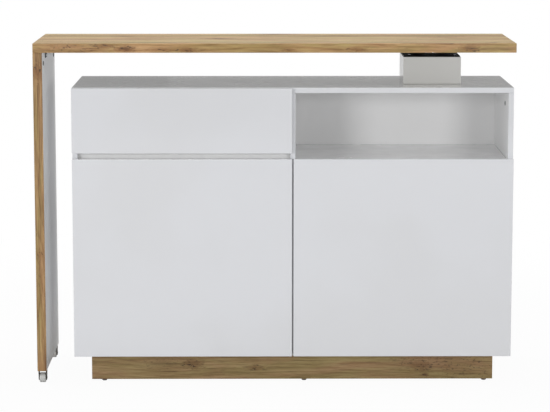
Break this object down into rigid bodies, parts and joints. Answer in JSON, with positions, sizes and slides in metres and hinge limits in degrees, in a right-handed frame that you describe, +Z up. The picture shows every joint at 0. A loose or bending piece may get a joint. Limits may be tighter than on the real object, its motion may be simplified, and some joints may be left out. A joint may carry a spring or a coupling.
{
  "type": "swivel bar cabinet",
  "caption": "Low cabinet with doors, drawer and open shelf; an L-shaped bar board turns above it on a ball turntable and rolls on leg castors",
  "frame": {"origin": "centre of the footprint's box, on the floor", "axes": "+X to the right along the length, +Y to the back, +Z up"},
  "size_m": [1.446, 0.4064, 1.04],
  "materials": {
    "white_gloss": "particle board with a white high-gloss film",
    "white_board": "particle board with a white melamine face",
    "oak_decor": "board with a knotty oak decor, matt",
    "grip_aluminium": "matt anodised",
    "zinc_steel": "zinc plated",
    "black_steel": "black, satin",
    "dark_steel": "dark, satin",
    "grey_wheel": "light grey, matt",
    "grey_plastic": "moulded, matt"
  },
  "bodies": {
    "cabinet": {"top_panel": "white_gloss", "side_panel_left": "white_gloss", "side_panel_right": "white_gloss", "centre_panel": "white_board", "bottom_panel": "white_board", "drawer_shelf": "white_board", "open_shelf": "white_gloss", "back_panel_left": "white_board", "back_panel_right": "white_board", "shelf_left": "white_board", "shelf_right": "white_board", "plinth_front": "oak_decor", "plinth_back": "oak_decor", "plinth_left": "oak_decor", "plinth_right": "oak_decor", "glide_front_left": "grey_plastic", "glide_front_middle": "grey_plastic", "glide_front_right": "grey_plastic", "glide_back_left": "grey_plastic", "glide_back_middle": "grey_plastic", "glide_back_right": "grey_plastic", "grip_profile": "grip_aluminium", "runner_outer_left": "zinc_steel", "runner_outer_right": "zinc_steel", "hinge_arm_left_low": "zinc_steel", "hinge_arm_left_high": "zinc_steel", "hinge_arm_right_low": "zinc_steel", "hinge_arm_right_high": "zinc_steel", "column_box": "white_gloss", "turntable_lower_plate": "black_steel", "pivot_stud": "zinc_steel"},
    "bar": {"bar_board": "oak_decor", "leg_panel": "oak_decor", "leg_bracket_front": "dark_steel", "leg_bracket_rear": "dark_steel", "castor_fork_front": "dark_steel", "castor_fork_rear": "dark_steel", "turntable_upper_plate": "black_steel"},
    "ball_ring": {"turntable_ball_ring": "zinc_steel"},
    "castor_front": {"castor_wheel_front": "grey_wheel"},
    "castor_rear": {"castor_wheel_rear": "grey_wheel"},
    "drawer": {"drawer_front": "white_gloss", "drawer_side_left": "white_board", "drawer_side_right": "white_board", "drawer_back": "white_board", "drawer_bottom": "white_board", "runner_inner_left": "zinc_steel", "runner_inner_right": "zinc_steel"},
    "runner_members": {"runner_middle_left": "zinc_steel", "runner_middle_right": "zinc_steel"},
    "door_left": {"door_left": "white_gloss", "hinge_cup_left_low": "zinc_steel", "hinge_cup_left_high": "zinc_steel"},
    "links_left": {"hinge_link_left_low": "zinc_steel", "hinge_link_left_high": "zinc_steel"},
    "door_right": {"door_right": "white_gloss", "hinge_cup_right_low": "zinc_steel", "hinge_cup_right_high": "zinc_steel"},
    "links_right": {"hinge_link_right_low": "zinc_steel", "hinge_link_right_high": "zinc_steel"}
  },
  "joints": [
    {"name": "bar_swivel", "type": "hinge", "parent": "cabinet", "child": "bar", "pos_m": [0.4795, 0.01065, 0.9902], "axis": [0, 0, 1], "range_deg": [0, 180]},
    {"name": "ball_ring_turn", "type": "hinge", "parent": "cabinet", "child": "ball_ring", "pos_m": [0.4795, 0.01065, 1.0011], "axis": [0, 0, 1], "range_deg": [-1, 95]},
    {"name": "castor_spin_front", "type": "hinge", "parent": "bar", "child": "castor_front", "pos_m": [-0.709, -0.15685, 0.015], "axis": [1, 0, 0], "continuous": true},
    {"name": "castor_spin_rear", "type": "hinge", "parent": "bar", "child": "castor_rear", "pos_m": [-0.709, 0.17715, 0.015], "axis": [1, 0, 0], "continuous": true},
    {"name": "drawer_slide", "type": "slide", "parent": "cabinet", "child": "drawer", "axis": [0, -1, 0], "range_m": [0, 0.28]},
    {"name": "runner_slide", "type": "slide", "parent": "cabinet", "child": "runner_members", "axis": [0, -1, 0], "range_m": [-0.001, 0.145]},
    {"name": "door_left_swing", "type": "hinge", "parent": "cabinet", "child": "door_left", "pos_m": [-0.602, -0.20015, 0.0895], "axis": [0, 0, -1], "range_deg": [0, 100]},
    {"name": "link_left_swing", "type": "hinge", "parent": "cabinet", "child": "links_left", "pos_m": [-0.575, -0.19415, 0.0895], "axis": [0, 0, 1], "range_deg": [-1, 60]},
    {"name": "door_right_swing", "type": "hinge", "parent": "cabinet", "child": "door_right", "pos_m": [0.711, -0.20015, 0.0895], "axis": [0, 0, 1], "range_deg": [0, 100]},
    {"name": "link_right_swing", "type": "hinge", "parent": "cabinet", "child": "links_right", "pos_m": [0.684, -0.19415, 0.0895], "axis": [0, 0, -1], "range_deg": [-1, 60]}
  ],
  "couplings": [
    {"joint": "ball_ring_turn", "follows": "bar_swivel", "ratio": 0.5},
    {"joint": "runner_slide", "follows": "drawer_slide", "ratio": 0.5},
    {"joint": "link_left_swing", "follows": "door_left_swing", "ratio": 0.554},
    {"joint": "link_right_swing", "follows": "door_right_swing", "ratio": 0.554}
  ]
}
